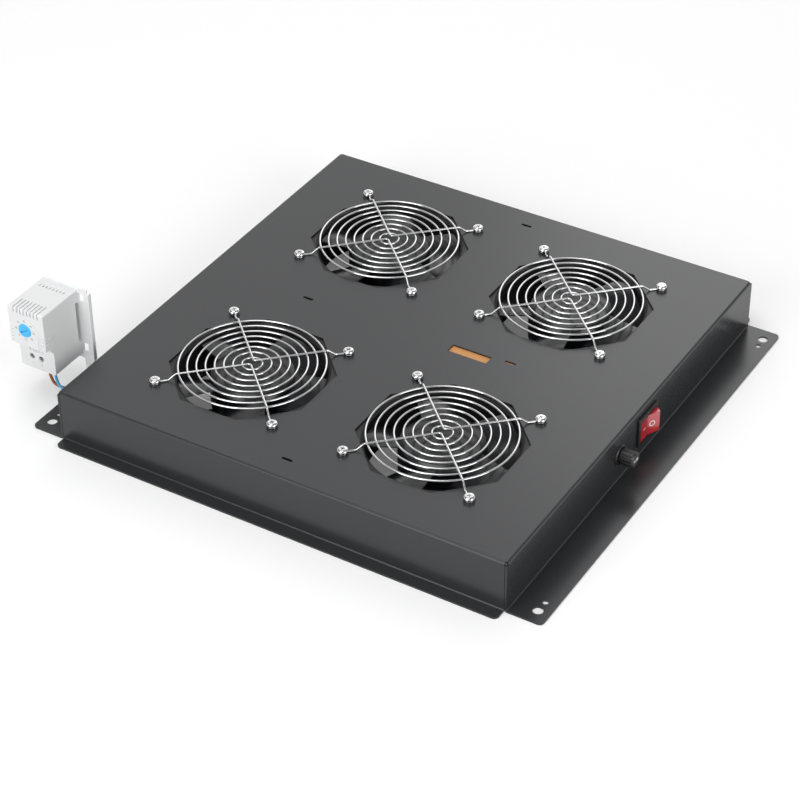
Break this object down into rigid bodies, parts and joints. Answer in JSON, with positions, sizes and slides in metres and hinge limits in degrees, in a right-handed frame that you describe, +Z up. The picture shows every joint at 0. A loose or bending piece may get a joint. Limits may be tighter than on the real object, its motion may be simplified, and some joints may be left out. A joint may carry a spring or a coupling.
{
  "type": "rack fan tray",
  "caption": "Folded steel roof tray for a server cabinet with guarded axial fans, a lit rocker switch, a fuse holder, a mains inlet and a thermostat on a bracket.",
  "frame": {"origin": "middle of the flange bolt rectangle, on the flanges' underside", "axes": "+Z up out of the cabinet roof, front wall with the switch towards -Y, +X to the right seen from the front"},
  "size_m": [0.417, 0.474, 0.0875],
  "materials": {
    "tray": "fine-textured dark grey powder coat",
    "chrome": "bright nickel-chrome plate",
    "zinc": "zinc-plated steel",
    "bright_steel": "ground steel",
    "cup_steel": "pressed steel",
    "fan_black": "black-coated die casting",
    "fan_plastic": "glossy black moulding",
    "winding": "enamelled copper on lacquered laminations",
    "switch_black": "glossy black moulding",
    "switch_red": "translucent red moulding",
    "brass": "plated brass",
    "fuse_black": "satin black moulding",
    "fuse_glass": "clear glass with plated ends",
    "inlet_black": "satin black moulding",
    "rubber": "black rubber",
    "board_tan": "tan insulating board",
    "block_white": "natural white polyamide",
    "thermo_grey": "light grey moulding",
    "dial_blue": "blue moulding",
    "wire_brown": "brown insulation",
    "wire_blue": "light blue insulation"
  },
  "bodies": {
    "tray": {"tray_shell": "tray", "fan_bearings": "bright_steel", "finger_guards": "chrome", "guard_screws": "chrome", "guard_nuts": "zinc", "switch_housing": "switch_black", "switch_terminals": "brass", "fuse_body": "fuse_black", "fuse_nut": "fuse_black", "inlet_housing": "inlet_black", "inlet_pins": "brass", "inlet_screws": "zinc", "wire_grommet": "rubber", "terminal_board": "board_tan", "board_studs": "zinc", "terminal_block": "block_white", "block_screws": "zinc", "lead_block": "block_white", "lead_block_screws": "zinc", "earth_stud": "brass", "thermostat_cover": "thermo_grey", "thermostat_base": "thermo_grey", "thermostat_screws": "zinc", "thermostat_bracket": "zinc", "bracket_screw": "zinc", "brown_wire": "wire_brown", "blue_wire": "wire_blue", "fan_frame_rear_right": "fan_black", "fan_stator_rear_right": "winding", "fan_frame_front_right": "fan_black", "fan_stator_front_right": "winding", "fan_frame_rear_left": "fan_black", "fan_stator_rear_left": "winding", "fan_frame_front_left": "fan_black", "fan_stator_front_left": "winding"},
    "rotor_rear_right": {"fan_rotor_cup_rear_right": "cup_steel", "fan_shaft_rear_right": "bright_steel", "fan_impeller_rear_right": "fan_plastic"},
    "rotor_front_right": {"fan_rotor_cup_front_right": "cup_steel", "fan_shaft_front_right": "bright_steel", "fan_impeller_front_right": "fan_plastic"},
    "rotor_rear_left": {"fan_rotor_cup_rear_left": "cup_steel", "fan_shaft_rear_left": "bright_steel", "fan_impeller_rear_left": "fan_plastic"},
    "rotor_front_left": {"fan_rotor_cup_front_left": "cup_steel", "fan_shaft_front_left": "bright_steel", "fan_impeller_front_left": "fan_plastic"},
    "rocker": {"switch_rocker": "switch_red"},
    "carrier": {"fuse_carrier": "brass", "glass_fuse": "fuse_glass"},
    "cap": {"fuse_cap": "fuse_black"},
    "dial": {"thermostat_dial": "dial_blue"},
    "clip": {"rail_clip": "thermo_grey"}
  },
  "joints": [
    {"name": "spin_rear_right", "type": "hinge", "parent": "tray", "child": "rotor_rear_right", "pos_m": [0.099, 0.083, 0.025], "axis": [0, 0, 1], "continuous": true},
    {"name": "spin_front_right", "type": "hinge", "parent": "tray", "child": "rotor_front_right", "pos_m": [0.099, -0.083, 0.025], "axis": [0, 0, 1], "continuous": true},
    {"name": "spin_rear_left", "type": "hinge", "parent": "tray", "child": "rotor_rear_left", "pos_m": [-0.099, 0.083, 0.025], "axis": [0, 0, 1], "continuous": true},
    {"name": "spin_front_left", "type": "hinge", "parent": "tray", "child": "rotor_front_left", "pos_m": [-0.099, -0.083, 0.025], "axis": [0, 0, 1], "continuous": true},
    {"name": "switch_throw", "type": "hinge", "parent": "tray", "child": "rocker", "pos_m": [0.014, -0.19, 0.024], "axis": [0, 0, 1], "range_deg": [0, 26]},
    {"name": "fuse_pull", "type": "slide", "parent": "tray", "child": "carrier", "axis": [0, -1, 0], "range_m": [0, 0.026]},
    {"name": "fuse_turn", "type": "hinge", "parent": "carrier", "child": "cap", "pos_m": [-0.029, -0.2, 0.024], "axis": [0, -1, 0], "range_deg": [0, 90]},
    {"name": "dial_turn", "type": "hinge", "parent": "tray", "child": "dial", "pos_m": [-0.172, 0.239, 0.0675], "axis": [-1, 0, 0], "range_deg": [-135, 135]},
    {"name": "clip_release", "type": "slide", "parent": "tray", "child": "clip", "axis": [0, 0, -1], "range_m": [0, 0.003], "stiffness_N_per_m": 500, "springref_m": -0.002}
  ]
}
